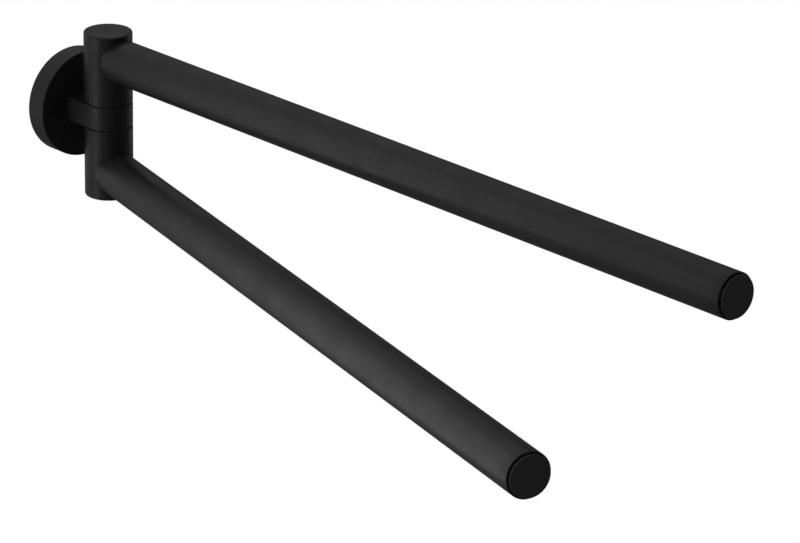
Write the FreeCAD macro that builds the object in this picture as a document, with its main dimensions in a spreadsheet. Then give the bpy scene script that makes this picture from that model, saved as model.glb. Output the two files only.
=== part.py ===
import FreeCAD, Part
import os
import re
import Sketcher

# Towel holder for a wall: a round rosette carries a short bracket arm that ends in a ring, and two
# towel bars swivel above and below that ring about one vertical pivot.
#
# Lengths are millimetres. The wall is the plane y = 0, the object stands out from it towards -Y,
# +Z is up, and the origin is the centre of the wall plate's back. Every piece that goes round the
# pivot is drawn with the pivot on its own Z axis and its bar along -Y, and its Placement brings it
# to the pivot and swings it to its angle of rest.

SIZES = {
    # Rosette and the plate behind it
    "RosetteDiameter": 49,
    "RosetteDepth": 10,
    "RosetteWall": 2.5,
    "RosetteFace": 2.5,
    "RosetteEdge": 0.5,
    "PlateGap": 0.15,
    "PlateDepth": 7,
    "PlateBase": 3,
    "PlateRim": 3.5,
    "WallHoleDiameter": 5,
    "WallHoleSpacing": 26,
    "WallHoleSink": 1.9,
    # Grub screw that locks the rosette on the plate from below
    "GrubDiameter": 4,
    "GrubLength": 4,
    "GrubTip": 0.3,
    "GrubRecess": 0.2,
    "GrubStation": 4.5,
    "GrubSocket": 2,
    "GrubSocketDepth": 1.6,
    # Bracket arm and the screws that hold it to the rosette
    "PivotReach": 26.8,
    "RingHeight": 10.7,
    "ArmEdge": 0.4,
    "ScrewDiameter": 4,
    "ScrewThread": 7.5,
    "ScrewSpacing": 12,
    "ScrewClearance": 0.25,
    "ScrewHeadDiameter": 7.6,
    "ScrewHeadHeight": 2.2,
    "ScrewSocket": 2.5,
    "ScrewSocketDepth": 1.3,
    "LockWasherDiameter": 7,
    "LockWasherThickness": 0.9,
    "LockWasherSlit": 0.8,
    # Flanged bushes whose flanges show as the two dark seams
    "SeamGap": 0.6,
    "SeamRecess": 0.8,
    "BushDiameter": 12,
    "BushSpace": 0.5,
    # Hubs
    "HubDiameter": 22,
    "HubHeight": 32.7,
    "HubEdge": 0.8,
    "HubSeamEdge": 0.3,
    "CounterboreDiameter": 16,
    "ThreadRunout": 2.3,
    # Pivot bolt with its friction stack
    "BoltDiameter": 8,
    "BoltEngagement": 11.7,
    "BoltTip": 0.8,
    "BoltHeadDiameter": 14,
    "BoltHeadHeight": 4.4,
    "BoltHeadRounding": 2.4,
    "BoltSocket": 5,
    "BoltSocketDepth": 3,
    "SpringDiameter": 15,
    "SpringThickness": 0.7,
    "SpringHeight": 1.1,
    "ThrustWasherThickness": 0.8,
    # Plug that closes the lower hub
    "PlugThickness": 1.6,
    "PlugGap": 0.3,
    "PlugWall": 0.5,
    "PlugSkirt": 3,
    "PlugEdge": 0.3,
    # Towel bars
    "BarDiameter": 20,
    "BarWall": 1.2,
    "BarLength": 387.5,
    "BarEdge": 0.35,
    "HornTrim": 4.05,
    "BarDrop": 12.25,
    "InsertLength": 25,
    "StudDiameter": 6,
    "StudLength": 20,
    "StudWall": 0.95,
    "StudChamfer": 0.6,
    "StudSocket": 3,
    "StudSocketDepth": 3.5,
    # End caps
    "CapInset": 0.9,
    "CapHeadThickness": 0.9,
    "CapEdge": 0.35,
    "CapGroove": 0.6,
    "CapGrooveDepth": 1.1,
    "CapShank": 12,
    "CapWall": 1.8,
    # Clearances: turning on the pivot, and in threads and bonded joints
    "RunningGap": 0.05,
    "JointGap": 0.05,
    # Angles of rest of the two arms about the pivot, in degrees from straight out of the wall
    "UpperArmAngle": 0.25,
    "LowerArmAngle": -14.5,
}
UPPER, LOWER = 1, -1
FULL_TURN = 360
CORNER_TURN = 60
CORNERS = 6
UP = FreeCAD.Vector(0, 0, 1)
SAME = 0.001

# Heights above the middle of the ring and radii that several pieces share
SEAT = "(RingHeight / 2 + SeamGap)"
HUB_END = f"({SEAT} + HubHeight)"
BAR_HEIGHT = f"({HUB_END} - BarDrop)"
PLUG_FACE = f"({HUB_END} - PlugThickness)"
HEAD_END = f"({PLUG_FACE} - PlugGap)"
HEAD_SEAT = f"({HEAD_END} - BoltHeadHeight)"
SPRING_TOP = f"({HEAD_SEAT} - SpringHeight)"
SHOULDER = f"({SPRING_TOP} - ThrustWasherThickness)"
RUNNING_BORE = "(BoltDiameter / 2 + RunningGap)"
BAR_BORE = "(BarDiameter / 2 - BarWall)"
SADDLE = "(HubDiameter / 2 + JointGap)"
BAR_START = "(HubDiameter / 2 - HornTrim)"
STUD_START = f"({RUNNING_BORE} + StudWall)"
PLATE_RADIUS = "(RosetteDiameter / 2 - RosetteWall - PlateGap)"
ROSETTE_INSIDE = "(RosetteDepth - RosetteFace)"
GRUB_END = "(RosetteDiameter / 2 - GrubRecess)"
GRUB_POINT = "(GrubLength + GrubRecess + GrubTip - RosetteWall)"
SCREW_SEAT = f"({ROSETTE_INSIDE} - LockWasherThickness)"

doc = FreeCAD.newDocument("TowelHolder")
sheet = doc.addObject("Spreadsheet::Sheet", "Sizes")
for row, (name, number) in enumerate(SIZES.items(), 1):
    sheet.set(f"A{row}", name)
    sheet.set(f"B{row}", str(number))
    sheet.setAlias(f"B{row}", name)
doc.recompute()


def size(formula):
    """The present value of a formula of named sizes."""
    return float(sheet.evalExpression(formula))


def linked(formula):
    """The formula as other objects write it, with each named size read from the sheet."""
    return re.sub(r"([A-Z]\w+)", r"Sizes.\1", formula)


def start(label):
    """An empty body for one sub-part."""
    body = doc.addObject("PartDesign::Body", label)
    body.Label = label
    return body


def sketch(body, role, offset):
    """A sketch on one of the body's own origin planes, moved along the plane's normal."""
    plane = next(item for item in body.Origin.OriginFeatures if item.Role == role)
    drawing = body.newObject("Sketcher::SketchObject", f"{body.Label}_sketch")
    drawing.AttachmentSupport = [(plane, "")]
    drawing.MapMode = "FlatFace"
    drawing.setExpression("AttachmentOffset.Base.z", linked(offset))
    return drawing


def pin(drawing, geometry, point, place):
    """Ties a point of the sketch to a pair of formulas measured from the sketch's origin."""
    axes = (("DistanceX", -2), ("DistanceY", -1))
    for (kind, axis), formula in zip(axes, place):
        if formula == "0":
            drawing.addConstraint(Sketcher.Constraint("PointOnObject", geometry, point, axis))
        else:
            reach = Sketcher.Constraint(kind, -1, 1, geometry, point, size(formula))
            index = drawing.addConstraint(reach)
            drawing.setExpression(f"Constraints[{index}]", linked(formula))


def outline(drawing, corners):
    """A closed outline of straight lines through corners that are pairs of formulas."""
    places = [FreeCAD.Vector(size(across), size(along), 0) for across, along in corners]
    drawing.addGeometry([Part.LineSegment(a, b) for a, b in zip(places, places[1:] + places[:1])])
    for index, corner in enumerate(corners):
        following = (index + 1) % len(corners)
        drawing.addConstraint(Sketcher.Constraint("Coincident", index, 2, following, 1))
        pin(drawing, index, 1, corner)


def circle(drawing, centre, radius):
    """A circle whose centre is a pair of formulas and whose radius is a formula."""
    middle = FreeCAD.Vector(size(centre[0]), size(centre[1]), 0)
    index = drawing.addGeometry(Part.Circle(middle, UP, size(radius)))
    width = drawing.addConstraint(Sketcher.Constraint("Radius", index, size(radius)))
    drawing.setExpression(f"Constraints[{width}]", linked(radius))
    pin(drawing, index, 3, centre)


def turned(label, role, corners):
    """A body turned about the vertical axis of its sketch from half of its section."""
    body = start(label)
    drawing = sketch(body, role, "0")
    outline(drawing, corners)
    turning = body.newObject("PartDesign::Revolution", f"{label}_turning")
    turning.Profile = drawing
    turning.ReferenceAxis = (drawing, ["V_Axis"])
    turning.Angle = FULL_TURN
    doc.recompute()
    return body


def padded(body, drawing, height):
    """Raises a sketch by half the height to each side of its plane."""
    pad = body.newObject("PartDesign::Pad", f"{body.Label}_pad")
    pad.Profile = drawing
    pad.SideType = "Symmetric"
    pad.setExpression("Length", linked(height))
    doc.recompute()


def cut(body, drawing, depth=None, forward=True, both=False):
    """Cuts a sketch out of the body, along its normal or back, and to a depth or right through."""
    before = body.Shape.Volume
    pocket = body.newObject("PartDesign::Pocket", f"{body.Label}_pocket")
    pocket.Profile = drawing
    pocket.Reversed = forward
    if both:
        pocket.SideType = "Symmetric"
    if depth is None:
        pocket.Type = "ThroughAll"
    else:
        pocket.setExpression("Length", linked(depth))
    doc.recompute()
    if body.Shape.Volume >= before:
        raise RuntimeError(f"a cut in {body.Label} removes nothing")


def drilled(body, role, offset, centres, radius, depth=None, forward=True):
    """Drills round holes from a plane into the body."""
    drawing = sketch(body, role, offset)
    for centre in centres:
        circle(drawing, centre, radius)
    cut(body, drawing, depth, forward)


def hexagon(body, role, offset, across_flats, depth, forward=True):
    """Cuts a hexagon socket on the body's own axis."""
    drawing = sketch(body, role, offset)
    corner = f"{across_flats} / 2 / cos({CORNER_TURN / 2} deg)"
    turns = [CORNER_TURN / 2 + CORNER_TURN * step for step in range(CORNERS)]
    outline(drawing, [(f"{corner} * cos({turn} deg)", f"{corner} * sin({turn} deg)") for turn in turns])
    cut(body, drawing, depth, forward)


def ring_edges(body, radius, centre):
    """The names of the body's circular edges of one radius about one centre."""
    middle = FreeCAD.Vector(*[size(formula) for formula in centre])
    found = []
    for index, edge in enumerate(body.Tip.Shape.Edges, 1):
        round_edge = isinstance(edge.Curve, Part.Circle)
        if round_edge and abs(edge.Curve.Radius - size(radius)) < SAME:
            if edge.Curve.Center.distanceToPoint(middle) < SAME:
                found.append(f"Edge{index}")
    return found


def softened(body, edges, amount, kind="Fillet"):
    """Rounds or chamfers the named edges of the body's last feature."""
    base = body.Tip
    feature = body.newObject(f"PartDesign::{kind}", f"{body.Label}_{kind.lower()}")
    feature.Base = (base, edges)
    feature.setExpression("Radius" if kind == "Fillet" else "Size", linked(amount))
    doc.recompute()


def at_pivot(body, height="0", angle="0"):
    """Brings a body drawn round the pivot to its place, at a height and an angle of rest."""
    base = f"vector(0; -PivotReach; {height})"
    body.setExpression("Placement", linked(f"placement({base}; rotation(vector(0; 0; 1); {angle}))"))
    return body


def wall_plate():
    """Disc with a raised rim, screwed to the wall. The rosette slides over the rim, and a groove
    round it takes the grub screw's point."""
    body = turned("wall_plate", "XY_Plane", [
        ("0", "0"),
        (PLATE_RADIUS, "0"),
        (PLATE_RADIUS, f"{GRUB_POINT} - GrubStation"),
        (f"{PLATE_RADIUS} - {GRUB_POINT}", "-GrubStation"),
        (PLATE_RADIUS, f"-GrubStation - {GRUB_POINT}"),
        (PLATE_RADIUS, "-PlateDepth"),
        (f"{PLATE_RADIUS} - PlateRim", "-PlateDepth"),
        (f"{PLATE_RADIUS} - PlateRim", "-PlateBase"),
        ("0", "-PlateBase"),
    ])
    heights = ("WallHoleSpacing / 2", "-WallHoleSpacing / 2")
    drilled(body, "XZ_Plane", "0", [("0", height) for height in heights], "WallHoleDiameter / 2")
    mouths = []
    for height in heights:
        mouths += ring_edges(body, "WallHoleDiameter / 2", ("0", "-PlateBase", height))
    softened(body, mouths, "WallHoleSink", "Chamfer")
    return body


def rosette():
    """Round cover with a flat face, open towards the wall."""
    body = turned("rosette", "XY_Plane", [
        ("0", "-RosetteDepth"),
        ("RosetteDiameter / 2", "-RosetteDepth"),
        ("RosetteDiameter / 2", "0"),
        ("RosetteDiameter / 2 - RosetteWall", "0"),
        ("RosetteDiameter / 2 - RosetteWall", f"-{ROSETTE_INSIDE}"),
        ("0", f"-{ROSETTE_INSIDE}"),
    ])
    softened(body, ring_edges(body, "RosetteDiameter / 2", ("0", "-RosetteDepth", "0")), "RosetteEdge")
    sides = [("ScrewSpacing / 2", "0"), ("-ScrewSpacing / 2", "0")]
    drilled(body, "XZ_Plane", "0", sides, "ScrewDiameter / 2 + ScrewClearance")
    drilled(body, "XY_Plane", "0", [("0", "-GrubStation")], "GrubDiameter / 2 + JointGap", forward=False)
    return body


def rosette_grub_screw():
    """Headless screw in the bottom of the rosette, with a cone point and a hexagon socket."""
    cone = "(GrubDiameter / 2 - GrubTip)"
    body = turned("rosette_grub_screw", "XZ_Plane", [
        ("0", f"-{GRUB_END}"),
        ("GrubDiameter / 2", f"-{GRUB_END}"),
        ("GrubDiameter / 2", f"GrubLength - {cone} - {GRUB_END}"),
        ("GrubTip", f"GrubLength - {GRUB_END}"),
        ("0", f"GrubLength - {GRUB_END}"),
    ])
    hexagon(body, "XY_Plane", f"-{GRUB_END}", "GrubSocket", "GrubSocketDepth")
    body.setExpression("Placement", linked("placement(vector(0; -GrubStation; 0); rotation(vector(0; 0; 1); 0))"))
    return body


def bracket_arm():
    """Flat arm as wide as the hubs, from the rosette's face to the ring round the pivot."""
    body = start("bracket_arm")
    ring = sketch(body, "XY_Plane", "0")
    circle(ring, ("0", "0"), "HubDiameter / 2")
    padded(body, ring, "RingHeight")
    back = "PivotReach - RosetteDepth"
    tongue = sketch(body, "XY_Plane", "0")
    outline(tongue, [
        ("-HubDiameter / 2", "0"),
        ("HubDiameter / 2", "0"),
        ("HubDiameter / 2", back),
        ("-HubDiameter / 2", back),
    ])
    padded(body, tongue, "RingHeight")
    rim = []
    for index, edge in enumerate(body.Tip.Shape.Edges, 1):
        box = edge.BoundBox
        level = abs(abs(box.ZMin) - size("RingHeight / 2")) < SAME and box.ZLength < SAME
        at_rosette = box.YMin > size(back) - SAME
        if level and not at_rosette:
            rim.append(f"Edge{index}")
    softened(body, rim, "ArmEdge")
    drilled(body, "XY_Plane", "-RingHeight", [("0", "0")], "BushDiameter / 2 + JointGap")
    sides = [("ScrewSpacing / 2", "0"), ("-ScrewSpacing / 2", "0")]
    drilled(body, "XZ_Plane", "RosetteDepth - PivotReach", sides, "ScrewDiameter / 2 + JointGap",
            "ScrewThread + JointGap")
    return at_pivot(body)


def bracket_screw(side):
    """Button head screw that pulls the arm against the rosette from inside."""
    head = f"(ScrewHeadHeight - {SCREW_SEAT})"
    body = turned(f"bracket_screw_{side}", "XY_Plane", [
        ("0", head),
        ("ScrewHeadDiameter / 2", head),
        ("ScrewHeadDiameter / 2", f"-{SCREW_SEAT}"),
        ("ScrewDiameter / 2", f"-{SCREW_SEAT}"),
        ("ScrewDiameter / 2", "-RosetteDepth - ScrewThread"),
        ("0", "-RosetteDepth - ScrewThread"),
    ])
    softened(body, ring_edges(body, "ScrewHeadDiameter / 2", ("0", head, "0")), "ScrewHeadHeight / 2")
    hexagon(body, "XZ_Plane", f"-{head}", "ScrewSocket", "ScrewSocketDepth")
    return body


def lock_washer(side):
    """Split spring washer under a bracket screw's head."""
    inner = "ScrewDiameter / 2 + JointGap"
    body = turned(f"lock_washer_{side}", "XY_Plane", [
        (inner, f"-{SCREW_SEAT}"),
        ("LockWasherDiameter / 2", f"-{SCREW_SEAT}"),
        ("LockWasherDiameter / 2", f"-{ROSETTE_INSIDE}"),
        (inner, f"-{ROSETTE_INSIDE}"),
    ])
    slit = sketch(body, "XZ_Plane", "0")
    outline(slit, [
        ("-LockWasherSlit / 2", "0"),
        ("LockWasherSlit / 2", "0"),
        ("LockWasherSlit / 2", "LockWasherDiameter"),
        ("-LockWasherSlit / 2", "LockWasherDiameter"),
    ])
    cut(body, slit)
    return body


def pair(label, make):
    """Two like pieces, one to each side of the middle, kept as separate solids of one sub-part."""
    made = []
    for side, sign in (("left", "-"), ("right", "")):
        body = make(side)
        base = f"vector({sign}ScrewSpacing / 2; 0; 0)"
        body.setExpression("Placement", linked(f"placement({base}; rotation(vector(0; 0; 1); 0))"))
        made.append(body)
    group = doc.addObject("Part::Compound", label)
    group.Label = label
    group.Links = made
    return group


def bush(label, side):
    """Flanged nylon bush in the ring. Its flange keeps the hub off the ring as a dark seam."""
    return at_pivot(turned(label, "XZ_Plane", [
        (RUNNING_BORE, f"{side} * BushSpace"),
        ("BushDiameter / 2", f"{side} * BushSpace"),
        ("BushDiameter / 2", f"{side} * RingHeight / 2"),
        ("HubDiameter / 2 - SeamRecess", f"{side} * RingHeight / 2"),
        ("HubDiameter / 2 - SeamRecess", f"{side} * {SEAT}"),
        (RUNNING_BORE, f"{side} * {SEAT}"),
    ]))


def hub(label, side, angle, bore):
    """Cylinder of one arm, with its bore down the pivot and a threaded hole for the bar's stud."""
    body = turned(label, "XZ_Plane", [
        ("HubDiameter / 2", f"{side} * {SEAT}"),
        *[(across, f"{side} * {height}") for across, height in bore],
        ("HubDiameter / 2", f"{side} * {HUB_END}"),
    ])
    softened(body, ring_edges(body, "HubDiameter / 2", ("0", "0", f"{side} * {HUB_END}")), "HubEdge")
    softened(body, ring_edges(body, "HubDiameter / 2", ("0", "0", f"{side} * {SEAT}")), "HubSeamEdge")
    drilled(body, "XZ_Plane", STUD_START, [("0", f"{side} * {BAR_HEIGHT}")], "StudDiameter / 2 + JointGap")
    return at_pivot(body, angle=angle)


def upper_hub():
    """Closed at the top and threaded from below for the pivot bolt."""
    depth = f"({SEAT} + BoltEngagement + ThreadRunout)"
    thread = "BoltDiameter / 2 + JointGap"
    bore = [(thread, SEAT), (thread, depth), ("0", depth), ("0", HUB_END)]
    return hub("upper_hub", UPPER, "UpperArmAngle", bore)


def lower_hub():
    """Turns on the pivot bolt, with a counterbore from below for its head and the springs."""
    counterbore = "CounterboreDiameter / 2"
    bore = [(RUNNING_BORE, SEAT), (RUNNING_BORE, SHOULDER), (counterbore, SHOULDER), (counterbore, HUB_END)]
    return hub("lower_hub", LOWER, "LowerArmAngle", bore)


def pivot_bolt():
    """Button head bolt from below, through lower hub and ring into the upper hub's thread."""
    end = f"({SEAT} + BoltEngagement)"
    body = turned("pivot_bolt", "XZ_Plane", [
        ("0", f"-{HEAD_END}"),
        ("BoltHeadDiameter / 2", f"-{HEAD_END}"),
        ("BoltHeadDiameter / 2", f"-{HEAD_SEAT}"),
        ("BoltDiameter / 2", f"-{HEAD_SEAT}"),
        ("BoltDiameter / 2", f"{end} - BoltTip"),
        ("BoltDiameter / 2 - BoltTip", end),
        ("0", end),
    ])
    dome = ring_edges(body, "BoltHeadDiameter / 2", ("0", "0", f"-{HEAD_END}"))
    softened(body, dome, "BoltHeadRounding")
    hexagon(body, "XY_Plane", f"-{HEAD_END}", "BoltSocket", "BoltSocketDepth")
    return at_pivot(body, angle="UpperArmAngle")


def disc_spring():
    """Dished washer on the bolt's head that keeps the swivel stiff."""
    inner = "BoltDiameter / 2 + JointGap * 2"
    dish = "(SpringHeight - SpringThickness)"
    body = turned("disc_spring", "XZ_Plane", [
        (inner, f"-{HEAD_SEAT}"),
        ("SpringDiameter / 2", f"{dish} - {HEAD_SEAT}"),
        ("SpringDiameter / 2", f"-{SPRING_TOP}"),
        (inner, f"SpringThickness - {HEAD_SEAT}"),
    ])
    return at_pivot(body, angle="UpperArmAngle")


def thrust_washer():
    """Flat nylon washer between the disc spring and the lower hub's shoulder."""
    inner = "BoltDiameter / 2 + JointGap * 2"
    body = turned("thrust_washer", "XZ_Plane", [
        (inner, f"-{SPRING_TOP}"),
        ("SpringDiameter / 2", f"-{SPRING_TOP}"),
        ("SpringDiameter / 2", f"-{SHOULDER}"),
        (inner, f"-{SHOULDER}"),
    ])
    return at_pivot(body, angle="UpperArmAngle")


def hub_plug():
    """Cap pressed into the lower hub's counterbore, flush with the hub's end."""
    outer = "(CounterboreDiameter / 2 - JointGap)"
    body = turned("hub_plug", "XZ_Plane", [
        ("0", f"-{HUB_END}"),
        (outer, f"-{HUB_END}"),
        (outer, f"PlugSkirt - {HUB_END}"),
        (f"{outer} - PlugWall", f"PlugSkirt - {HUB_END}"),
        (f"{outer} - PlugWall", f"-{PLUG_FACE}"),
        ("0", f"-{PLUG_FACE}"),
    ])
    softened(body, ring_edges(body, outer, ("0", "0", f"-{HUB_END}")), "PlugEdge")
    return at_pivot(body, angle="LowerArmAngle")


def saddled(body):
    """Cuts the near end of a bar or insert to the round of the hub."""
    drawing = sketch(body, "XY_Plane", "0")
    circle(drawing, ("0", "0"), SADDLE)
    cut(body, drawing, both=True)


def bar(label, height, angle):
    """Round tube, cut square at its far end and to the hub's round at its near end. The two thin
    horns that this leaves at its sides are trimmed blunt."""
    body = turned(label, "XY_Plane", [
        ("BarDiameter / 2", f"-{BAR_START}"),
        ("BarDiameter / 2", "-BarLength"),
        (BAR_BORE, "-BarLength"),
        (BAR_BORE, f"-{BAR_START}"),
    ])
    softened(body, ring_edges(body, "BarDiameter / 2", ("0", "-BarLength", "0")), "BarEdge")
    saddled(body)
    return at_pivot(body, height, angle)


def bar_insert(label, height, angle):
    """Turned plug bonded in the tube's near end and threaded through for the stud."""
    far = "-HubDiameter / 2 - InsertLength"
    body = turned(label, "XY_Plane", [
        ("StudDiameter / 2 + JointGap", f"-{BAR_START}"),
        (f"{BAR_BORE} - JointGap", f"-{BAR_START}"),
        (f"{BAR_BORE} - JointGap", far),
        ("StudDiameter / 2 + JointGap", far),
    ])
    saddled(body)
    return at_pivot(body, height, angle)


def bar_stud(label, height, angle):
    """Threaded stud that joins the insert to the hub, with a socket at its far end."""
    near = f"(-{STUD_START})"
    far = f"(-{STUD_START} - StudLength)"
    body = turned(label, "XY_Plane", [
        ("0", near),
        ("StudDiameter / 2 - StudChamfer", near),
        ("StudDiameter / 2", f"{near} - StudChamfer"),
        ("StudDiameter / 2", f"{far} + StudChamfer"),
        ("StudDiameter / 2 - StudChamfer", far),
        ("0", far),
    ])
    hexagon(body, "XZ_Plane", f"-{far}", "StudSocket", "StudSocketDepth", forward=False)
    return at_pivot(body, height, angle)


def end_cap(label, height, angle):
    """Plug in the bar's free end: a hollow shank in the tube, a narrow neck that shows as a dark
    groove, and a thin round head a little smaller than the tube."""
    groove_end = "(-BarLength - CapGroove)"
    face = "(-BarLength - CapGroove - CapHeadThickness)"
    head = "(BarDiameter / 2 - CapInset)"
    neck = f"({head} - CapGrooveDepth)"
    shank = f"({BAR_BORE} - JointGap)"
    body = turned(label, "XY_Plane", [
        ("0", face),
        (head, face),
        (head, groove_end),
        (neck, groove_end),
        (neck, "-BarLength"),
        (shank, "-BarLength"),
        (shank, "CapShank - BarLength"),
        (f"{shank} - CapWall", "CapShank - BarLength"),
        (f"{shank} - CapWall", "CapWall - BarLength"),
        ("0", "CapWall - BarLength"),
    ])
    softened(body, ring_edges(body, head, ("0", face, "0")), "CapEdge")
    return at_pivot(body, height, angle)


nodes = [
    wall_plate(),
    rosette(),
    rosette_grub_screw(),
    bracket_arm(),
    pair("bracket_screws", bracket_screw),
    pair("bracket_lock_washers", lock_washer),
    bush("upper_bush", UPPER),
    bush("lower_bush", LOWER),
    upper_hub(),
    lower_hub(),
    pivot_bolt(),
    disc_spring(),
    thrust_washer(),
    hub_plug(),
]
for arm, side, angle in (("upper", UPPER, "UpperArmAngle"), ("lower", LOWER, "LowerArmAngle")):
    for make in (bar, bar_insert, bar_stud, end_cap):
        label = f"{arm}_{make.__name__}"
        nodes.append(make(label, f"{side} * {BAR_HEIGHT}", angle))
doc.recompute()

for item in doc.Objects:
    if "Invalid" in item.State or "Error" in item.State:
        raise RuntimeError(f"{item.Name} failed: {item.State}")
for node in nodes:
    if node.Shape.isNull() or not node.Shape.isValid():
        raise RuntimeError(f"{node.Label} has no valid shape")
os.makedirs("parts", exist_ok=True)
for node in nodes:
    node.Shape.exportStep(f"parts/{node.Label}.step")
    box = node.Shape.BoundBox
    print(f"{node.Label}: {len(node.Shape.Solids)} solids, {node.Shape.Volume:.1f} mm3,"
          f" y {box.YMin:.2f} to {box.YMax:.2f}, z {box.ZMin:.2f} to {box.ZMax:.2f}")
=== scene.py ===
import math

import bmesh
import bpy
import numpy as np
from mathutils import Matrix


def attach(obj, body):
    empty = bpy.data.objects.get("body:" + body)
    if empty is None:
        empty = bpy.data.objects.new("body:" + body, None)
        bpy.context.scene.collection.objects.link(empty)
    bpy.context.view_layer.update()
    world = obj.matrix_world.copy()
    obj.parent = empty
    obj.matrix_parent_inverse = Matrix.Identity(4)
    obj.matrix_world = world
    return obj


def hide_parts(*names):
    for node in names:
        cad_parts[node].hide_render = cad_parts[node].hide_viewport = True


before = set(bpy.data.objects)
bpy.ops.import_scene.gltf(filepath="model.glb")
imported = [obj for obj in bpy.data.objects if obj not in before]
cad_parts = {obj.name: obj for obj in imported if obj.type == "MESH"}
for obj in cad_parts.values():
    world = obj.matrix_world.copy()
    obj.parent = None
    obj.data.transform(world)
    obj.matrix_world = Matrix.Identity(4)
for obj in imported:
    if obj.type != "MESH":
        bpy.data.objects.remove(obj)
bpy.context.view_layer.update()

# The view. The holder is seen from the front left and from above, through a long lens about two
# metres off, so that both bars run away from the wall towards the lower right of the picture.
MM = 0.001
PIVOT = np.array([0, -26.8, 0]) * MM
PIVOT_IN_PICTURE = np.array([108.61, 112.36])
PICTURE = np.array([800, 543])
FOCAL_PIXELS = 4686
SENSOR = 36
VIEW_DISTANCE = 2110.9 * MM
VIEW_TURN, VIEW_DOWN, VIEW_ROLL = np.radians([42.686, 21.053, 0.893])

sight = np.array([
    np.cos(VIEW_DOWN) * np.sin(VIEW_TURN),
    np.cos(VIEW_DOWN) * np.cos(VIEW_TURN),
    -np.sin(VIEW_DOWN),
])
level = np.array([np.cos(VIEW_TURN), -np.sin(VIEW_TURN), 0])
upright = np.cross(level, sight)
right = np.cos(VIEW_ROLL) * level + np.sin(VIEW_ROLL) * upright
above = np.cos(VIEW_ROLL) * upright - np.sin(VIEW_ROLL) * level
offset = (PIVOT_IN_PICTURE - PICTURE / 2) / FOCAL_PIXELS * VIEW_DISTANCE
place = PIVOT - offset[0] * right + offset[1] * above - VIEW_DISTANCE * sight

lens = bpy.data.cameras.new("view")
lens.sensor_width = SENSOR
lens.lens = FOCAL_PIXELS * SENSOR / PICTURE[0]
camera = bpy.data.objects.new("view", lens)
stand = Matrix(np.column_stack([right, above, -sight]).tolist()).to_4x4()
stand.translation = place
camera.matrix_world = stand
bpy.context.scene.collection.objects.link(camera)
bpy.context.scene.camera = camera
bpy.context.scene.view_settings.view_transform = "Standard"

# The studio: a pale floor a metre below the holder, in a white room that is dim on the viewer's
# side. A lit patch of wall beside the rosette draws the soft band along the bars, a low panel on
# the left the hubs' light side, and a narrow one the light line down their right side.
FLOOR_DROP = 1000 * MM
FLOOR_HALF = 1.4
FLOOR_COLOUR = (0.8, 0.8, 0.8, 1)
FLOOR_GLOW = 0.85
DIM_LIGHT = 0.135
FULL_LIGHT = 0.79
BRIGHT_SIDE = (-0.64, 0.49, 0.6)
BRIGHT_START = -0.19
BRIGHT_FULL = 0.8
PATCH_PLACE = (-0.24, 0.01, 0.05)
PATCH_TOWARDS = (-0.24, -1, 0.05)
PATCH_SIZE = (0.28, 0.64)
PATCH_POWER = 0.54
PANELS_TOWARDS = (0, -0.2, 0)
SIDE_PLACE = (-1.98, 0.32, -0.93)
SIDE_SIZE = (0.65, 0.95)
SIDE_POWER = 3
RIM_PLACE = (1.95, -0.2, 0.3)
RIM_SIZE = (0.7, 2)
RIM_POWER = 6


def combined(tree, operation, first, second):
    """Two values, or a value and a number, taken together by one sum."""
    node = tree.nodes.new("ShaderNodeMath")
    node.operation = operation
    tree.links.new(first, node.inputs[0])
    if isinstance(second, (int, float)):
        node.inputs[1].default_value = second
    else:
        tree.links.new(second, node.inputs[1])
    return node.outputs[0]


room = bpy.data.worlds.new("room")
room.use_nodes = True
bpy.context.scene.world = room
tree = room.node_tree
background = tree.nodes["Background"]
background.inputs["Color"].default_value = (1, 1, 1, 1)
towards_bright = tree.nodes.new("ShaderNodeVectorMath")
towards_bright.operation = "DOT_PRODUCT"
towards_bright.inputs[1].default_value = BRIGHT_SIDE
direction = tree.nodes.new("ShaderNodeTexCoord").outputs["Generated"]
tree.links.new(direction, towards_bright.inputs[0])
brightness = tree.nodes.new("ShaderNodeMapRange")
brightness.interpolation_type = "SMOOTHSTEP"
brightness.inputs["From Min"].default_value = BRIGHT_START
brightness.inputs["From Max"].default_value = BRIGHT_FULL
brightness.inputs["To Min"].default_value = DIM_LIGHT
brightness.inputs["To Max"].default_value = FULL_LIGHT
tree.links.new(towards_bright.outputs["Value"], brightness.inputs["Value"])
path = tree.nodes.new("ShaderNodeLightPath").outputs
seen = combined(tree, "MAXIMUM", path["Is Camera Ray"], path["Is Transmission Ray"])
strength = combined(tree, "MAXIMUM", seen, brightness.outputs["Result"])
tree.links.new(strength, background.inputs["Strength"])

floor_paint = bpy.data.materials.new("pale_floor")
floor_paint.use_nodes = True
tree = floor_paint.node_tree
paint = tree.nodes["Principled BSDF"]
paint.inputs["Base Color"].default_value = FLOOR_COLOUR
paint.inputs["Roughness"].default_value = 1
paint.inputs["Specular IOR Level"].default_value = 0
paint.inputs["Emission Color"].default_value = (1, 1, 1, 1)
path = tree.nodes.new("ShaderNodeLightPath").outputs
seen = combined(tree, "MAXIMUM", path["Is Camera Ray"], path["Is Transmission Ray"])
tree.links.new(combined(tree, "MULTIPLY", seen, FLOOR_GLOW), paint.inputs["Emission Strength"])
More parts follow.
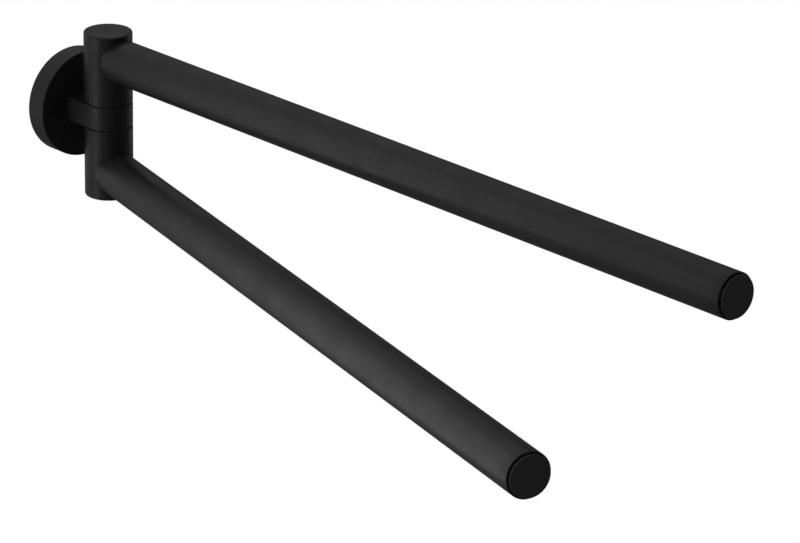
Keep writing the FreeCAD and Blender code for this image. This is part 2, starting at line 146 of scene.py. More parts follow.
# Seen from below, and for gloss, the floor isn't there.
side = tree.nodes.new("ShaderNodeNewGeometry").outputs["Backfacing"]
clear = tree.nodes.new("ShaderNodeBsdfTransparent")
choice = tree.nodes.new("ShaderNodeMixShader")
let_through = combined(tree, "MAXIMUM", side, path["Is Glossy Ray"])
tree.links.new(let_through, choice.inputs["Fac"])
tree.links.new(paint.outputs["BSDF"], choice.inputs[1])
tree.links.new(clear.outputs["BSDF"], choice.inputs[2])
tree.links.new(choice.outputs["Shader"], tree.nodes["Material Output"].inputs["Surface"])
floor_mesh = bpy.data.meshes.new("floor")
corners = np.array([[-1, -1], [1, -1], [1, 1], [-1, 1]]) * FLOOR_HALF
floor_mesh.from_pydata(np.column_stack([corners, np.full(4, -FLOOR_DROP)]), [], [(0, 1, 2, 3)])
floor_mesh.materials.append(floor_paint)
floor = bpy.data.objects.new("floor", floor_mesh)
bpy.context.scene.collection.objects.link(floor)


def soft_panel(name, place, towards, size, power):
    """A soft lamp that looks from one point to another and isn't seen itself. Its size is its
    width and height."""
    lamp = bpy.data.lights.new(name, "AREA")
    lamp.shape = "RECTANGLE"
    lamp.size, lamp.size_y = size
    lamp.energy = power
    out = np.subtract(towards, place)
    out = out / np.linalg.norm(out)
    along = np.cross(out, [0, 0, 1])
    along = along / np.linalg.norm(along)
    stand = Matrix(np.column_stack([along, np.cross(along, out), -out]).tolist()).to_4x4()
    stand.translation = place
    holder = bpy.data.objects.new(name, lamp)
    holder.matrix_world = stand
    holder.visible_camera = False
    bpy.context.scene.collection.objects.link(holder)


soft_panel("wall_patch", PATCH_PLACE, PATCH_TOWARDS, PATCH_SIZE, PATCH_POWER)
soft_panel("side_panel", SIDE_PLACE, PANELS_TOWARDS, SIDE_SIZE, SIDE_POWER)
soft_panel("rim_panel", RIM_PLACE, PANELS_TOWARDS, RIM_SIZE, RIM_POWER)

# The wall plate: a zinc plated steel disc with a raised rim, screwed to the wall through its two
# countersunk holes. The rosette covers it.
ZINC_COOL = (0.58, 0.6, 0.63, 1)
ZINC_WARM = (0.66, 0.66, 0.65, 1)
ZINC_GLOSS = (0.28, 0.42)
LONG_MARKS = 60
FINE_MARKS = 5000
MARK_DEPTH = 0.003 * MM
METAL_CLOUDS = 220
FLAT_MARKS = (LONG_MARKS, FINE_MARKS, LONG_MARKS)
UPRIGHT_MARKS = (LONG_MARKS, LONG_MARKS, FINE_MARKS)


def finish(name):
    """A new material with its node tree, its shader and its object coordinates."""
    material = bpy.data.materials.new(name)
    material.use_nodes = True
    tree = material.node_tree
    coordinates = tree.nodes.new("ShaderNodeTexCoord").outputs["Object"]
    return material, tree, tree.nodes["Principled BSDF"], coordinates


def noise(tree, coordinates, scale, detail, roughness=0.5):
    """A cloudy pattern whose scale is how many of its patches fit in a metre."""
    node = tree.nodes.new("ShaderNodeTexNoise")
    node.inputs["Scale"].default_value = scale
    node.inputs["Detail"].default_value = detail
    node.inputs["Roughness"].default_value = roughness
    tree.links.new(coordinates, node.inputs["Vector"])
    return node.outputs["Fac"]


def spread(tree, value, low, high, low_from=0.3, high_from=0.7):
    """Brings a pattern's middle range to lie between two numbers."""
    node = tree.nodes.new("ShaderNodeMapRange")
    node.inputs["From Min"].default_value = low_from
    node.inputs["From Max"].default_value = high_from
    node.inputs["To Min"].default_value = low
    node.inputs["To Max"].default_value = high
    tree.links.new(value, node.inputs["Value"])
    return node.outputs["Result"]


def two_tones(tree, value, dark, light):
    """A colour that goes from one tone to another with a pattern."""
    node = tree.nodes.new("ShaderNodeMix")
    node.data_type = "RGBA"
    low, high = [socket for socket in node.inputs if socket.type == "RGBA"]
    low.default_value = dark
    high.default_value = light
    tree.links.new(value, node.inputs["Factor"])
    return next(socket for socket in node.outputs if socket.type == "RGBA")


def relief(tree, height, depth, under=None):
    """Raises and sinks the surface by a pattern, with a depth in metres."""
    node = tree.nodes.new("ShaderNodeBump")
    node.inputs["Strength"].default_value = 1
    node.inputs["Distance"].default_value = depth
    tree.links.new(height, node.inputs["Height"])
    if under is not None:
        tree.links.new(under, node.inputs["Normal"])
    return node.outputs["Normal"]


def drawn_out(tree, coordinates, turn, counts):
    """Coordinates turned about the vertical and drawn out, for marks that run round a turned or
    rolled piece: counts are how many marks fit in a metre across, along and up."""
    node = tree.nodes.new("ShaderNodeMapping")
    node.vector_type = "TEXTURE"
    node.inputs["Rotation"].default_value = (0, 0, turn)
    node.inputs["Scale"].default_value = 1 / np.array(counts, float)
    tree.links.new(coordinates, node.inputs["Vector"])
    return node.outputs["Vector"]


def bare_metal(name, dark, light, gloss, turn, counts):
    """Turned metal: a tone that clouds softly, and fine tool marks in its gloss and relief. The
    gloss is the roughness between the marks and on them."""
    material, tree, shader, where = finish(name)
    marks = noise(tree, drawn_out(tree, where, turn, counts), 1, 2)
    cloud = noise(tree, where, METAL_CLOUDS, 3)
    tone = two_tones(tree, spread(tree, cloud, 0, 1), dark, light)
    tree.links.new(tone, shader.inputs["Base Color"])
    tree.links.new(spread(tree, marks, *gloss), shader.inputs["Roughness"])
    tree.links.new(relief(tree, marks, MARK_DEPTH), shader.inputs["Normal"])
    shader.inputs["Metallic"].default_value = 1
    return material


def painted(node, material):
    """Gives a solid of the frame its material."""
    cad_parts[node].data.materials.clear()
    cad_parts[node].data.materials.append(material)


zinc_wall = bare_metal("zinc_plate_wall", ZINC_COOL, ZINC_WARM, ZINC_GLOSS, 0, FLAT_MARKS)
painted("wall_plate", zinc_wall)

# The rosette: a round cast zinc cover with a thin rounded edge, powder coated matt black. It
# slides over the wall plate, and a grub screw from below locks it.
ROSETTE_RADIUS = 24.5 * MM
ROSETTE_DEPTH = 10 * MM
ROSETTE_WALL = 2.5 * MM
ROSETTE_FACE = 2.5 * MM
ROSETTE_EDGE = 0.5 * MM
ROSETTE_STEPS = 192
ROSETTE_STRETCH = 1.5 * MM
FINE_EDGE = 0.15 * MM
SMALL_EDGE = 0.1 * MM
GRUB_HOLE = 2.05 * MM
GRUB_STATION = 4.5 * MM
SCREW_HOLE = 2.25 * MM
SCREW_SIDE = 6 * MM
WALL_AXES = np.array([[1, 0, 0], [0, 0, 1], [0, -1, 0]])
PIVOT_AXES = np.eye(3)
COAT_BLACK = (0.0055, 0.0055, 0.0055, 1)
COAT_WORN = (0.012, 0.012, 0.012, 1)
COAT_GLOSS = (0.37, 0.49)
COAT_SHEEN = 0.19
PEEL_DEPTH = 0.05 * MM
GRAIN_DEPTH = 0.02 * MM
TURNED_STEPS = 128
DRILL_STEPS = 48


def rounded(corners, steps=8, stub=0.2):
    """Outline through rows of (across, along, radius). Each corner with a radius becomes an arc
    tangent to both of its sides, led in and out by a short straight stub, so that the flats beside
    it keep their shading. A corner without a radius stays one sharp point."""
    table = np.array(corners, float)
    at, radius = table[:, :2], table[:, 2:]
    back = np.roll(at, 1, 0) - at
    ahead = np.roll(at, -1, 0) - at
    back = back / np.linalg.norm(back, axis=1, keepdims=True)
    ahead = ahead / np.linalg.norm(ahead, axis=1, keepdims=True)
    half = np.arccos(np.clip(np.sum(back * ahead, 1, keepdims=True), -1, 1)) / 2
    reach = radius / np.tan(half)
    inward = back + ahead
    inward = inward / np.maximum(np.linalg.norm(inward, axis=1, keepdims=True), 1e-9)
    middle = at + inward * radius / np.sin(half)
    first = at + back * reach - middle
    last = at + ahead * reach - middle
    begin = np.arctan2(first[:, 1], first[:, 0])
    turn = np.arctan2(last[:, 1], last[:, 0]) - begin
    turn = (turn + math.pi) % (2 * math.pi) - math.pi
    angle = begin[:, None] + turn[:, None] * np.linspace(0, 1, steps + 1)
    arc = middle[:, None] + radius[:, None] * np.stack([np.cos(angle), np.sin(angle)], 2)
    lead_in = at + back * (reach + stub * radius)
    lead_out = at + ahead * (reach + stub * radius)
    whole = np.concatenate([lead_in[:, None], arc, lead_out[:, None]], 1)
    keep = np.ones(whole.shape[:2], bool)
    keep[radius[:, 0] == 0, 1:] = False
    return whole[keep]


def divided(outline, longest):
    """The same outline with more points, evenly spread, so that no stretch is over a length."""
    stretch = np.diff(outline, axis=0)
    count = np.maximum(np.ceil(np.linalg.norm(stretch, axis=1) / longest), 1).astype(int)
    first = np.repeat(np.cumsum(count) - count, count)
    share = (np.arange(count.sum()) - first) / np.repeat(count, count)
    start = np.repeat(outline[:-1], count, axis=0)
    inner = start + np.repeat(stretch, count, axis=0) * share[:, None]
    return np.vstack([inner, outline[-1:]])


def skin(name, grid, ring, sharp=40):
    """Object from a grid of points, whose rows go round and close. With ring the rows also close
    on each other, as on a tube. Otherwise the first and last rows are poles and become one point
    each. Faces are turned outwards by the sign of the enclosed volume."""
    rows, around = grid.shape[:2]
    index = np.arange(rows * around).reshape(rows, around)
    if not ring:
        index[0] = index[0, 0]
        index[-1] = index[-1, 0]
    low = index if ring else index[:-1]
    high = np.roll(index, -1, 0) if ring else index[1:]
    quads = np.stack([low, np.roll(low, -1, 1), np.roll(high, -1, 1), high], 2).reshape(-1, 4)
    points = grid.reshape(-1, 3)
    a, b, c, d = [points[quads[:, corner]] for corner in range(4)]
    middle = points.mean(0)
    twice_area = np.cross(b - a, c - a) + np.cross(c - a, d - a)
    if np.sum(twice_area * (a - middle)) < 0:
        quads = quads[:, ::-1]
    used, renumbered = np.unique(quads, return_inverse=True)
    quads = renumbered.reshape(-1, 4)
    if ring:
        faces = quads.tolist()
    else:
        same = [quads[:, k] == quads[:, (k + 1) % 4] for k in range(4)]
        whole = ~np.any(same, axis=0)
        faces = quads[whole].tolist()
        for k in range(4):
            rest = [(k + 1) % 4, (k + 2) % 4, (k + 3) % 4]
            faces += quads[same[k]][:, rest].tolist()
    mesh = bpy.data.meshes.new(name)
    mesh.from_pydata(points[used], [], faces)
    mesh.shade_smooth()
    mesh.set_sharp_from_angle(angle=math.radians(sharp))
    piece = bpy.data.objects.new(name, mesh)
    bpy.context.scene.collection.objects.link(piece)
    return piece


def turned(name, outline, centre, axes, ring, steps=TURNED_STEPS):
    """Surface turned round an axis. A point is the centre, plus its distance from the axis times
    the cosine and sine of its angle along the first two axes, plus its height along the third."""
    angle = np.linspace(0, 2 * math.pi, steps, endpoint=False)
    across = outline[:, :1, None] * np.stack([np.cos(angle), np.sin(angle)], 1)[None]
    height = np.broadcast_to(outline[:, 1, None, None], (len(outline), steps, 1))
    return skin(name, centre + np.concatenate([across, height], 2) @ axes, ring)


def drilled(piece, drills, sharp=40):
    """Takes plain round drills, as (centre, axes, radius, start, end), out of a piece."""
    for centre, axes, radius, start, end in drills:
        rod = np.array([(0, start), (radius, start), (radius, end), (0, end)])
        drill = turned("drill", rod, centre, axes, False, DRILL_STEPS)
        hole = piece.modifiers.new("hole", "BOOLEAN")
        hole.operation = "DIFFERENCE"
        hole.solver = "EXACT"
        hole.object = drill
    graph = bpy.context.evaluated_depsgraph_get()
    whole = piece.data
    piece.data = bpy.data.meshes.new_from_object(piece.evaluated_get(graph))
    piece.data.name = whole.name
    for hole in list(piece.modifiers):
        bpy.data.objects.remove(hole.object)
        piece.modifiers.remove(hole)
    bpy.data.meshes.remove(whole)
    piece.data.set_sharp_from_angle(angle=math.radians(sharp))


def mounted(piece, material, body, node):
    """Gives a piece its material and body, and hides the solid of the frame that it stands for."""
    piece.data.materials.clear()
    piece.data.materials.append(material)
    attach(piece, body)
    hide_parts(node)


coat, tree, shader, where = finish("black_powder_coat")
peel = noise(tree, where, 900, 2)
grain = noise(tree, where, 3200, 2)
cloud = noise(tree, where, 60, 3)
tone = two_tones(tree, spread(tree, grain, 0, 1), COAT_BLACK, COAT_WORN)
tree.links.new(tone, shader.inputs["Base Color"])
tree.links.new(spread(tree, cloud, *COAT_GLOSS), shader.inputs["Roughness"])
shader.inputs["Specular IOR Level"].default_value = COAT_SHEEN
bumps = relief(tree, grain, GRAIN_DEPTH, relief(tree, peel, PEEL_DEPTH))
tree.links.new(bumps, shader.inputs["Normal"])

outline = rounded([
    (0, ROSETTE_DEPTH, 0),
    (ROSETTE_RADIUS, ROSETTE_DEPTH, ROSETTE_EDGE),
    (ROSETTE_RADIUS, 0, FINE_EDGE),
    (ROSETTE_RADIUS - ROSETTE_WALL, 0, FINE_EDGE),
    (ROSETTE_RADIUS - ROSETTE_WALL, ROSETTE_DEPTH - ROSETTE_FACE, FINE_EDGE),
    (0, ROSETTE_DEPTH - ROSETTE_FACE, 0),
])
cover = divided(outline, ROSETTE_STRETCH)
rosette = turned("rosette_skin", cover, np.zeros(3), WALL_AXES, False, ROSETTE_STEPS)
grub_axis = np.array([0, -GRUB_STATION, 0])
drilled(rosette, [
    (grub_axis, PIVOT_AXES, GRUB_HOLE, -2 * ROSETTE_RADIUS, -ROSETTE_WALL),
    (np.array([-SCREW_SIDE, 0, 0]), WALL_AXES, SCREW_HOLE, ROSETTE_FACE, 2 * ROSETTE_DEPTH),
    (np.array([SCREW_SIDE, 0, 0]), WALL_AXES, SCREW_HOLE, ROSETTE_FACE, 2 * ROSETTE_DEPTH),
])
mounted(rosette, coat, "bracket", "rosette")

# The grub screw: a headless steel screw in the bottom of the rosette. Its cone point sits in the
# groove round the wall plate, and its hexagon socket is reached from below.
GRUB_RADIUS = 2 * MM
GRUB_FOOT = 24.3 * MM
GRUB_LENGTH = 4 * MM
GRUB_TIP = 0.3 * MM
GRUB_SOCKET = 2 * MM
GRUB_SOCKET_DEPTH = 1.6 * MM
GRUB_PITCH = 0.7 * MM
THREAD_SHARE = 0.6
THREAD_ROWS = 8
SOCKET_MOUTH = 1.25
SCREW_STEPS = 48
SCREW_SHARP = 35


def screw(name, rows, pitch, centre, axes):
    """Surface of a screw. A point's distance from the axis is its row's radius, made into a
    hexagon by the cosine of the angle to the nearest flat in the socket, and lowered in the thread
    by a three-cornered wave that climbs one pitch in each turn."""
    table = np.array(rows, float)
    radius, height, socket, thread = [table[:, column, None] for column in range(4)]
    angle = np.linspace(0, 2 * math.pi, SCREW_STEPS, endpoint=False)[None]
    flat = np.cos((angle + math.pi / 6) % (math.pi / 3) - math.pi / 6)
    wave = np.abs(2 * ((height / pitch - angle / (2 * math.pi)) % 1) - 1)
    distance = np.where(socket > 0, radius / flat, radius - thread * THREAD_SHARE * pitch * wave)
    tall = np.broadcast_to(height, distance.shape)
    grid = np.stack([distance * np.cos(angle), distance * np.sin(angle), tall], 2)
    return skin(name, centre + grid @ axes, False, SCREW_SHARP)


def thread_rows(radius, start, end, pitch):
    """Rows down a thread, eight to each pitch, that fade in and out over half a pitch."""
    count = int(THREAD_ROWS * abs(end - start) / pitch)
    height = np.linspace(start, end, count)
    fade = np.clip(np.minimum(np.abs(height - start), np.abs(end - height)) / (0.5 * pitch), 0, 1)
    plain = np.zeros(count)
    return np.column_stack([plain + radius, height, plain, fade]).tolist()


def socket_rows(across_flats, bottom, top):
    """Rows of a hexagon socket from the middle of its floor up to its mouth."""
    half = across_flats / 2
    mouth = half * SOCKET_MOUTH
    return [(0, bottom, 0, 0), (half, bottom, 1, 0), (half, top, 1, 0), (mouth, top, 0, 0)]


zinc_upright = bare_metal(
    "zinc_plate_upright", ZINC_COOL, ZINC_WARM, ZINC_GLOSS, 0, UPRIGHT_MARKS)
cone = GRUB_RADIUS - GRUB_TIP
grub = screw("rosette_grub_screw_skin", [
    *socket_rows(GRUB_SOCKET, GRUB_SOCKET_DEPTH - GRUB_FOOT, -GRUB_FOOT),
    (GRUB_RADIUS - FINE_EDGE, -GRUB_FOOT, 0, 0),
    *thread_rows(GRUB_RADIUS, FINE_EDGE - GRUB_FOOT, GRUB_LENGTH - cone - GRUB_FOOT, GRUB_PITCH),
    (GRUB_TIP, GRUB_LENGTH - GRUB_FOOT, 0, 0),
    (0, GRUB_LENGTH - GRUB_FOOT, 0, 0),
], GRUB_PITCH, grub_axis, PIVOT_AXES)
mounted(grub, zinc_upright, "bracket", "rosette_grub_screw")

# The bracket arm: a flat piece of cast zinc as wide as the hubs, with softened edges and a bored
# ring at its end, coated with the rosette. Two screws pull it against the rosette's face.
ARM_RADIUS = 11 * MM
ARM_HALF_HEIGHT = 5.35 * MM
ARM_EDGE = 0.4 * MM
ARM_BORE = 6.05 * MM
ARM_BACK = -10 * MM
ARM_STEPS = 96
ARM_SCREW_HOLE = 2.05 * MM
ARM_SCREW_END = 17.55 * MM


def arm_skin(name, radius, half_height, edge, bore):
    """Each step round the arm's outline pairs a point of the outline with the point of the bore at
    the same angle from the pivot. A row takes the outline drawn in by an inset, mixes it with the
    bore by a share and sets a height, and the rows go up the side, over the top, down the bore and
    back underneath."""
    front = np.linspace(math.pi, 2 * math.pi, ARM_STEPS)
    run = np.linspace(0, 1, ARM_STEPS // 4)[1:]
    width = np.concatenate([np.cos(front), np.ones(len(run)), 1 - 2 * run, -np.ones(len(run) - 1)])
    bulge = np.concatenate([np.sin(front), np.zeros(3 * len(run) - 1)])
    to_back = np.concatenate([np.zeros(len(front)), run, np.ones(len(run)), 1 - run[:-1]])
    middle = PIVOT[1] + to_back * (ARM_BACK - PIVOT[1])
    angle = np.arctan2(middle + radius * bulge - PIVOT[1], radius * width)
    hole = np.stack([bore * np.cos(angle), PIVOT[1] + bore * np.sin(angle)], 1)
    bend = np.linspace(0, math.pi / 2, 7)
    share = np.linspace(0, 1, 6)
    top = half_height - edge + edge * np.sin(bend)
    inset = np.concatenate([[0], edge - edge * np.cos(bend), np.full(len(share), edge)])
    mix = np.concatenate([np.zeros(1 + len(bend)), 0.02 + 0.98 * share])
    height = np.concatenate([[half_height - 1.5 * edge], top, np.full(len(share), half_height)])
    inset = np.concatenate([inset, inset[::-1]])[:, None]
    mix = np.concatenate([mix, mix[::-1]])[:, None, None]
    height = np.concatenate([height, -height[::-1]])[:, None]
    outer = np.stack([(radius - inset) * width, middle + (radius - inset) * bulge], 2)
    flat = outer * (1 - mix) + hole * mix
    tall = np.broadcast_to(height[:, :, None], flat.shape[:2] + (1,))
    return skin(name, np.concatenate([flat, tall], 2), True)


arm = arm_skin("bracket_arm_skin", ARM_RADIUS, ARM_HALF_HEIGHT, ARM_EDGE, ARM_BORE)
drilled(arm, [
    (np.array([-SCREW_SIDE, 0, 0]), WALL_AXES, ARM_SCREW_HOLE, ROSETTE_FACE, ARM_SCREW_END),
    (np.array([SCREW_SIDE, 0, 0]), WALL_AXES, ARM_SCREW_HOLE, ROSETTE_FACE, ARM_SCREW_END),
])
mounted(arm, coat, "bracket", "bracket_arm")

# The bracket screws and their split washers: zinc plated button head screws, driven from inside
# the rosette into the arm. They are made as one piece, as the two solids share one node.
SCREW_RADIUS = 2 * MM
SCREW_HEAD = 3.8 * MM
SCREW_TOP = 4.4 * MM
SCREW_SEAT = 6.6 * MM
SCREW_TIP = 17.5 * MM
SCREW_PITCH = 0.7 * MM
SCREW_SOCKET = 2.5 * MM
SCREW_SOCKET_DEPTH = 1.3 * MM
DOME = 1.1 * MM


def dome_rows(radius, edge, rounding, seat, steps=7):
    """Rows over the rounded shoulder of a button head and straight down to its seat."""
    bend = np.linspace(0, math.pi / 2, steps)
    down = rounding * math.copysign(1, seat - edge)
    plain = np.zeros(steps)
    across = radius - rounding + rounding * np.sin(bend)
    shoulder = np.column_stack([across, edge + down - down * np.cos(bend), plain, plain]).tolist()
    return shoulder + [(radius, seat, 0, 0)]


def joined(name, pieces):
    """One object from several closed pieces."""
    whole = bpy.data.meshes.new(name)
    shape = bmesh.new()
    for piece in pieces:
        shape.from_mesh(piece.data)
    shape.to_mesh(whole)
    shape.free()
    for piece in pieces:
        bpy.data.meshes.remove(piece.data)
    whole.shade_smooth()
    whole.set_sharp_from_angle(angle=math.radians(SCREW_SHARP))
    piece = bpy.data.objects.new(name, whole)
    bpy.context.scene.collection.objects.link(piece)
    return piece


both = [screw("bracket_screw", [
    *socket_rows(SCREW_SOCKET, SCREW_TOP + SCREW_SOCKET_DEPTH, SCREW_TOP),
    *dome_rows(SCREW_HEAD, SCREW_TOP, DOME, SCREW_SEAT),
    (SCREW_RADIUS, SCREW_SEAT, 0, 0),
    *thread_rows(SCREW_RADIUS, ROSETTE_DEPTH, SCREW_TIP - FINE_EDGE, SCREW_PITCH),
    (SCREW_RADIUS - 2 * FINE_EDGE, SCREW_TIP, 0, 0),
    (0, SCREW_TIP, 0, 0),
], SCREW_PITCH, np.array([side * SCREW_SIDE, 0, 0]), WALL_AXES) for side in (-1, 1)]
screws = joined("bracket_screws_skin", both)
mounted(screws, zinc_wall, "bracket", "bracket_screws")
painted("bracket_lock_washers", zinc_wall)

# The two bushes: turned black nylon, pressed into the ring from above and below. Only the thin
# flanges show, as the dark seams that keep the hubs off the ring.
BUSH_BORE = 4.05 * MM
BUSH_RADIUS = 6 * MM
BUSH_START = 0.5 * MM
BUSH_MOUTH = 0.2 * MM
BUSH_LEAD = 0.4 * MM
FLANGE_RADIUS = 10.2 * MM
SEAT = 5.95 * MM
NYLON_BLACK = (0.012, 0.012, 0.012, 1)
NYLON_GREY = (0.016, 0.016, 0.0162, 1)
NYLON_GLOSS = (0.55, 0.68)
NYLON_SHEEN = 0.4
NYLON_DEPTH = 0.008 * MM

nylon, tree, shader, where = finish("black_nylon")
speckle = noise(tree, where, 2600, 2)
tree.links.new(two_tones(tree, speckle, NYLON_BLACK, NYLON_GREY), shader.inputs["Base Color"])
cloud = noise(tree, where, 300, 2)
tree.links.new(spread(tree, cloud, *NYLON_GLOSS), shader.inputs["Roughness"])
shader.inputs["Specular IOR Level"].default_value = NYLON_SHEEN
tree.links.new(relief(tree, speckle, NYLON_DEPTH), shader.inputs["Normal"])

for name, up in (("upper_bush", 1), ("lower_bush", -1)):
    outline = rounded([
        (BUSH_BORE, up * BUSH_START, BUSH_MOUTH),
        (BUSH_RADIUS, up * BUSH_START, BUSH_LEAD),
        (BUSH_RADIUS, up * ARM_HALF_HEIGHT, 0),
        (FLANGE_RADIUS, up * ARM_HALF_HEIGHT, SMALL_EDGE),
        (FLANGE_RADIUS, up * SEAT, SMALL_EDGE),
        (BUSH_BORE, up * SEAT, BUSH_MOUTH),
    ], steps=4)
    bush = turned(name + "_skin", outline, PIVOT, PIVOT_AXES, True)
    mounted(bush, nylon, "bracket", name)

# The hubs: turned cylinders with a rounded outer end, coated matt black. The upper one is closed
# and threaded for the pivot bolt, the lower one turns on the bolt and hides its head.
HUB_RADIUS = 11 * MM
HUB_END = 38.65 * MM
HUB_EDGE = 0.8 * MM
HUB_SEAM_EDGE = 0.3 * MM
HUB_STEPS = 160
HUB_STRETCH = 2 * MM
THREAD_BORE = 4.05 * MM
THREAD_END = 19.95 * MM
SHOULDER = 30.45 * MM
COUNTERBORE = 8 * MM
STUD_HOLE = 3.05 * MM
STUD_START = 5 * MM
BAR_HEIGHT = 26.4 * MM
UPPER_TURN = math.radians(0.25)
LOWER_TURN = math.radians(-14.5)


def swung(angle):
    """The axes of an arm that has swung about the pivot: across it, along its bar, and up."""
    return np.array([
        [math.cos(angle), math.sin(angle), 0],
        [math.sin(angle), -math.cos(angle), 0],
        [0, 0, 1],
    ])


outline = rounded([
    (0, HUB_END, 0),
    (HUB_RADIUS, HUB_END, HUB_EDGE),
    (HUB_RADIUS, SEAT, HUB_SEAM_EDGE),
    (THREAD_BORE, SEAT, FINE_EDGE),
    (THREAD_BORE, THREAD_END, 0),
    (0, THREAD_END, 0),
])
outline = divided(outline, HUB_STRETCH)
upper_hub = turned("upper_hub_skin", outline, PIVOT, PIVOT_AXES, False, HUB_STEPS)
outline = rounded([
    (HUB_RADIUS, -HUB_END, HUB_EDGE),
    (HUB_RADIUS, -SEAT, HUB_SEAM_EDGE),
    (THREAD_BORE, -SEAT, FINE_EDGE),
    (THREAD_BORE, -SHOULDER, 0),
    (COUNTERBORE, -SHOULDER, 0),
    (COUNTERBORE, -HUB_END, FINE_EDGE),
])
outline = divided(outline, HUB_STRETCH)
lower_hub = turned("lower_hub_skin", outline, PIVOT, PIVOT_AXES, True, HUB_STEPS)
for hub, arm_name, turn, height in (
    (upper_hub, "upper", UPPER_TURN, BAR_HEIGHT),
    (lower_hub, "lower", LOWER_TURN, -BAR_HEIGHT),
):
    along_bar = swung(turn)[[0, 2, 1]]
    drilled(hub, [(PIVOT + [0, 0, height], along_bar, STUD_HOLE, STUD_START, 2 * HUB_RADIUS)])
    mounted(hub, coat, arm_name + "_arm", arm_name + "_hub")

# The pivot: a zinc plated button head bolt from below, through the lower hub and the ring into
# the upper hub's thread, with a disc spring and a nylon washer that keep the swivel stiff.
BOLT_RADIUS = 4 * MM
BOLT_HEAD = 7 * MM
BOLT_FOOT = 36.75 * MM
BOLT_SEAT = 32.35 * MM
BOLT_END = 17.65 * MM
BOLT_TIP = 0.8 * MM
BOLT_DOME = 2.4 * MM
BOLT_PITCH = 1.25 * MM
BOLT_THREAD = 3 * MM
BOLT_SOCKET = 5 * MM
BOLT_SOCKET_DEPTH = 3 * MM

bolt = screw("pivot_bolt_skin", [
    *socket_rows(BOLT_SOCKET, BOLT_SOCKET_DEPTH - BOLT_FOOT, -BOLT_FOOT),
    *dome_rows(BOLT_HEAD, -BOLT_FOOT, BOLT_DOME, -BOLT_SEAT),
    (BOLT_RADIUS, -BOLT_SEAT, 0, 0),
    *thread_rows(BOLT_RADIUS, BOLT_THREAD, BOLT_END - BOLT_TIP, BOLT_PITCH),
    (BOLT_RADIUS - BOLT_TIP, BOLT_END, 0, 0),
    (0, BOLT_END, 0, 0),
], BOLT_PITCH, PIVOT, PIVOT_AXES)
mounted(bolt, zinc_upright, "upper_arm", "pivot_bolt")
painted("disc_spring", zinc_upright)
painted("thrust_washer", nylon)

# The hub plug: a shallow black nylon cap, pressed flush into the lower hub's end over the bolt's
# head.
PLUG_RADIUS = 7.95 * MM
PLUG_EDGE = 0.3 * MM
PLUG_WALL = 0.5 * MM
PLUG_SKIRT = 3 * MM
PLUG_THICKNESS = 1.6 * MM

outline = rounded([
    (0, -HUB_END, 0),
    (PLUG_RADIUS, -HUB_END, PLUG_EDGE),
    (PLUG_RADIUS, PLUG_SKIRT - HUB_END, SMALL_EDGE),
    (PLUG_RADIUS - PLUG_WALL, PLUG_SKIRT - HUB_END, SMALL_EDGE),
    (PLUG_RADIUS - PLUG_WALL, PLUG_THICKNESS - HUB_END, SMALL_EDGE),
    (0, PLUG_THICKNESS - HUB_END, 0),
])
plug = turned("hub_plug_skin", outline, PIVOT, PIVOT_AXES, False)
mounted(plug, nylon, "lower_arm", "hub_plug")

# Inside each bar's near end: a turned aluminium insert, bonded in the tube, and a steel stud that
# joins it to the hub. The stud's hexagon socket is reached through the open tube.
STUD_RADIUS = 3 * MM
STUD_END = 25 * MM
STUD_CHAMFER = 0.6 * MM
STUD_PITCH = 1 * MM
STUD_SOCKET = 3 * MM
STUD_SOCKET_DEPTH = 3.5 * MM
ALUMINIUM_DULL = (0.74, 0.75, 0.77, 1)
ALUMINIUM_BRIGHT = (0.81, 0.81, 0.81, 1)
ALUMINIUM_GLOSS = (0.25, 0.4)
ARMS = (("upper", UPPER_TURN, BAR_HEIGHT), ("lower", LOWER_TURN, -BAR_HEIGHT))

for arm_name, turn, height in ARMS:
    tones = (ZINC_COOL, ZINC_WARM, ZINC_GLOSS)
    zinc = bare_metal("zinc_plate_" + arm_name, *tones, turn, FLAT_MARKS)
    tones = (ALUMINIUM_DULL, ALUMINIUM_BRIGHT, ALUMINIUM_GLOSS)
    metal = bare_metal("aluminium_" + arm_name, *tones, turn, FLAT_MARKS)
    painted(arm_name + "_bar_insert", metal)
    stud = screw(arm_name + "_bar_stud_skin", [
        *socket_rows(STUD_SOCKET, STUD_END - STUD_SOCKET_DEPTH, STUD_END),
        (STUD_RADIUS - STUD_CHAMFER, STUD_END, 0, 0),
        *thread_rows(STUD_RADIUS, STUD_END - STUD_CHAMFER, STUD_START + STUD_CHAMFER, STUD_PITCH),
        (STUD_RADIUS - STUD_CHAMFER, STUD_START, 0, 0),
        (0, STUD_START, 0, 0),
    ], STUD_PITCH, PIVOT + [0, 0, height], swung(turn)[[0, 2, 1]])
    mounted(stud, zinc, arm_name + "_arm", arm_name + "_bar_stud")

# The towel bars: drawn round tubes, coated black. One end is milled to the round of the hub, with
# its two thin horns trimmed blunt, and the other is cut square. A stud pulls each one to its hub.
BAR_RADIUS = 10 * MM
BAR_WALL = 1.2 * MM
BAR_LENGTH = 387.5 * MM
BAR_EDGE = 0.35 * MM
BAR_NEAR_EDGE = 0.3 * MM
BAR_START = 6.95 * MM
SADDLE_RADIUS = 11.05 * MM
BAR_STEPS = 128
BAR_RINGS = 48


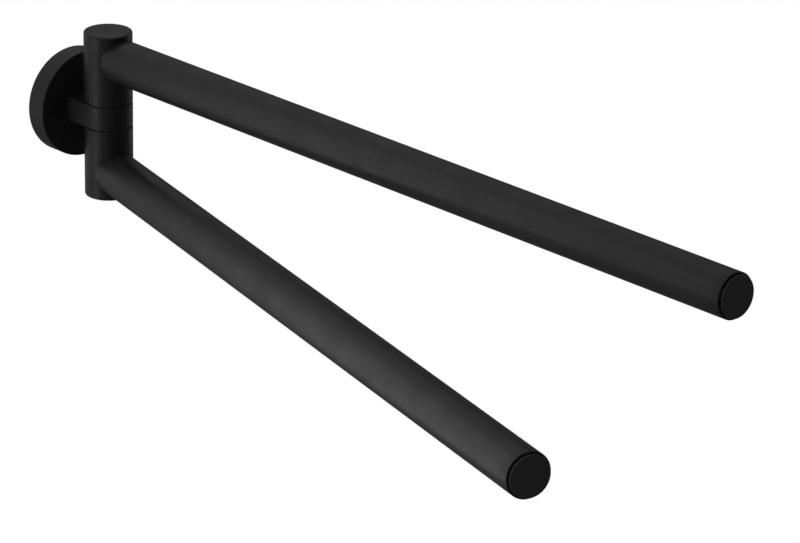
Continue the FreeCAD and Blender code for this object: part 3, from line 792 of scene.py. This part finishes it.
def bar_skin(name, angle, height):
    """Tube as a closed outline carried round its own axis. Each row has a distance from that axis
    and a share of the way from the near end to the far end, less a setback. At the near end the
    tube starts where it meets the hub's round: the saddle radius squared, less the sideways offset
    squared, all under a root, but no nearer than the trimmed horns. There its outer edge is eased:
    the setback follows a quarter circle while the distance from the axis grows to the full
    radius."""
    bend = np.linspace(0, math.pi / 2, 6)
    easing = np.linspace(0, math.pi / 2, 7)
    run = np.linspace(0, 1, BAR_RINGS)[1:]
    radius = np.concatenate([
        BAR_RADIUS - BAR_NEAR_EDGE + BAR_NEAR_EDGE * np.sin(easing),
        np.full(len(run) - 1, BAR_RADIUS),
        BAR_RADIUS - BAR_EDGE + BAR_EDGE * np.cos(bend),
        np.full(len(run), BAR_RADIUS - BAR_WALL),
        [BAR_RADIUS - BAR_WALL],
    ])[:, None]
    share = np.concatenate([
        np.zeros(len(easing)),
        run[:-1],
        np.ones(len(bend)),
        run[::-1],
        [0],
    ])[:, None]
    setback = np.concatenate([
        BAR_NEAR_EDGE * np.cos(easing) - BAR_NEAR_EDGE,
        np.zeros(len(run) - 1),
        BAR_EDGE - BAR_EDGE * np.sin(bend),
        np.zeros(len(run) + 1),
    ])
    around = np.linspace(0, 2 * math.pi, BAR_STEPS, endpoint=False)
    across = radius * np.cos(around)
    near = np.maximum(np.sqrt(SADDLE_RADIUS ** 2 - across ** 2), BAR_START)
    along = near * (1 - share) + BAR_LENGTH * share - setback[:, None]
    up = height + radius * np.sin(around)
    return skin(name, PIVOT + np.stack([across, along, up], 2) @ swung(angle), True, sharp=50)


for arm_name, turn, height in ARMS:
    bar = bar_skin(arm_name + "_bar_skin", turn, height)
    mounted(bar, coat, arm_name + "_arm", arm_name + "_bar")

# The end caps: black nylon plugs pushed into the free ends. A thin round head, a little smaller
# than the tube, stands off it by a narrow neck that shows as a dark groove.
CAP_RADIUS = 9.1 * MM
CAP_THICKNESS = 0.6 * MM
CAP_EDGE = 0.25 * MM
CAP_GROOVE = 0.9 * MM
CAP_NECK = 8 * MM
CAP_SHANK_RADIUS = 8.75 * MM
CAP_SHANK = 12 * MM
CAP_WALL = 1.8 * MM
CAP_LEAD = 0.3 * MM
CAP_STRETCH = 2 * MM


def cap_skin(name, angle, height):
    """End cap turned about the bar's axis, with its shank in the tube."""
    face = BAR_LENGTH + CAP_GROOVE + CAP_THICKNESS
    outline = rounded([
        (0, face, 0),
        (CAP_RADIUS, face, CAP_EDGE),
        (CAP_RADIUS, BAR_LENGTH + CAP_GROOVE, SMALL_EDGE),
        (CAP_NECK, BAR_LENGTH + CAP_GROOVE, 0),
        (CAP_NECK, BAR_LENGTH, 0),
        (CAP_SHANK_RADIUS, BAR_LENGTH, SMALL_EDGE),
        (CAP_SHANK_RADIUS, BAR_LENGTH - CAP_SHANK, CAP_LEAD),
        (CAP_SHANK_RADIUS - CAP_WALL, BAR_LENGTH - CAP_SHANK, FINE_EDGE),
        (CAP_SHANK_RADIUS - CAP_WALL, BAR_LENGTH - CAP_WALL, FINE_EDGE),
        (0, BAR_LENGTH - CAP_WALL, 0),
    ])
    outline = divided(outline, CAP_STRETCH)
    return turned(name, outline, PIVOT + [0, 0, height], swung(angle)[[0, 2, 1]], False)


for arm_name, turn, height in ARMS:
    cap = cap_skin(arm_name + "_end_cap_skin", turn, height)
    mounted(cap, nylon, arm_name + "_arm", arm_name + "_end_cap")
